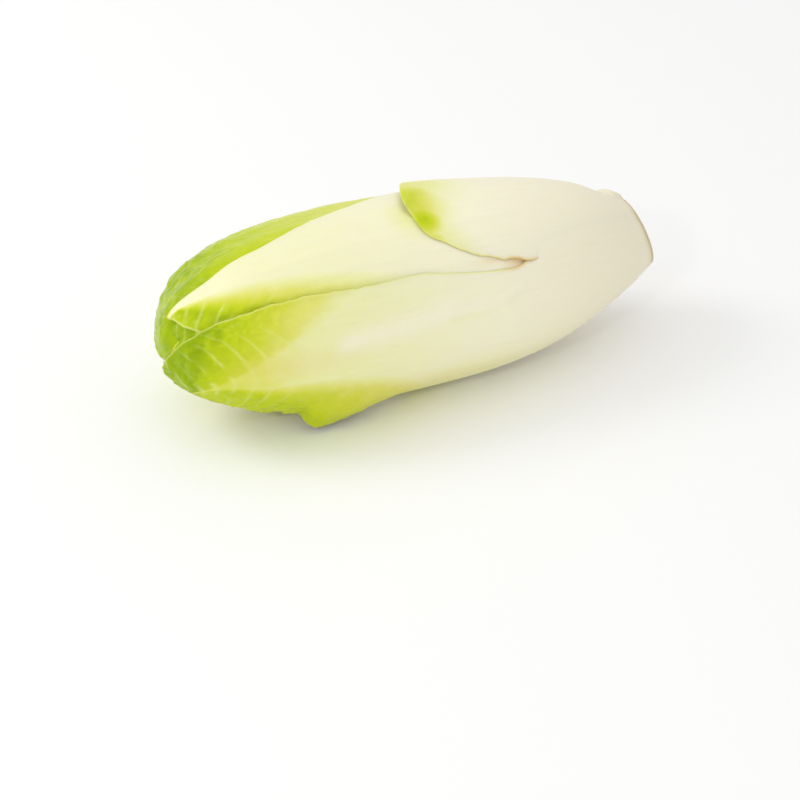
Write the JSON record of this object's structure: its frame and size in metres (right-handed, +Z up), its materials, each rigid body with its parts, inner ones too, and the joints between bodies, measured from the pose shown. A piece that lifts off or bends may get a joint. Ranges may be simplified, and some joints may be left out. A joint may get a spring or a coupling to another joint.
{
  "type": "belgian endive",
  "caption": "Oblong pointed head of tightly wrapped pale leaves with yellow-green tips and a short cut stem, lying on its side.",
  "frame": {"origin": "on the surface that it rests on, below the middle of the head", "axes": "+X along the head towards the cut stem, +Z up, -Y towards the front"},
  "size_m": [0.152, 0.0571, 0.0575],
  "materials": {
    "outer_leaf": "smooth crisp leaf, white rib, green tip",
    "green_leaf": "smooth crisp leaf, yellow-green",
    "inner_leaf": "smooth crisp leaf, pale yellow",
    "stem": "cut stem, cream, browned at the rim"
  },
  "bodies": {
    "root": {"leaf_back": "outer_leaf", "leaf_short": "outer_leaf", "leaf_front": "outer_leaf", "leaf_under": "outer_leaf", "leaf_middle": "outer_leaf", "leaf_crown": "green_leaf", "leaf_rear": "green_leaf", "leaf_lower": "green_leaf", "leaf_inner_1": "inner_leaf", "leaf_inner_2": "inner_leaf", "leaf_inner_3": "inner_leaf", "heart_bud": "inner_leaf", "stem_core": "stem"}
  },
  "joints": []
}
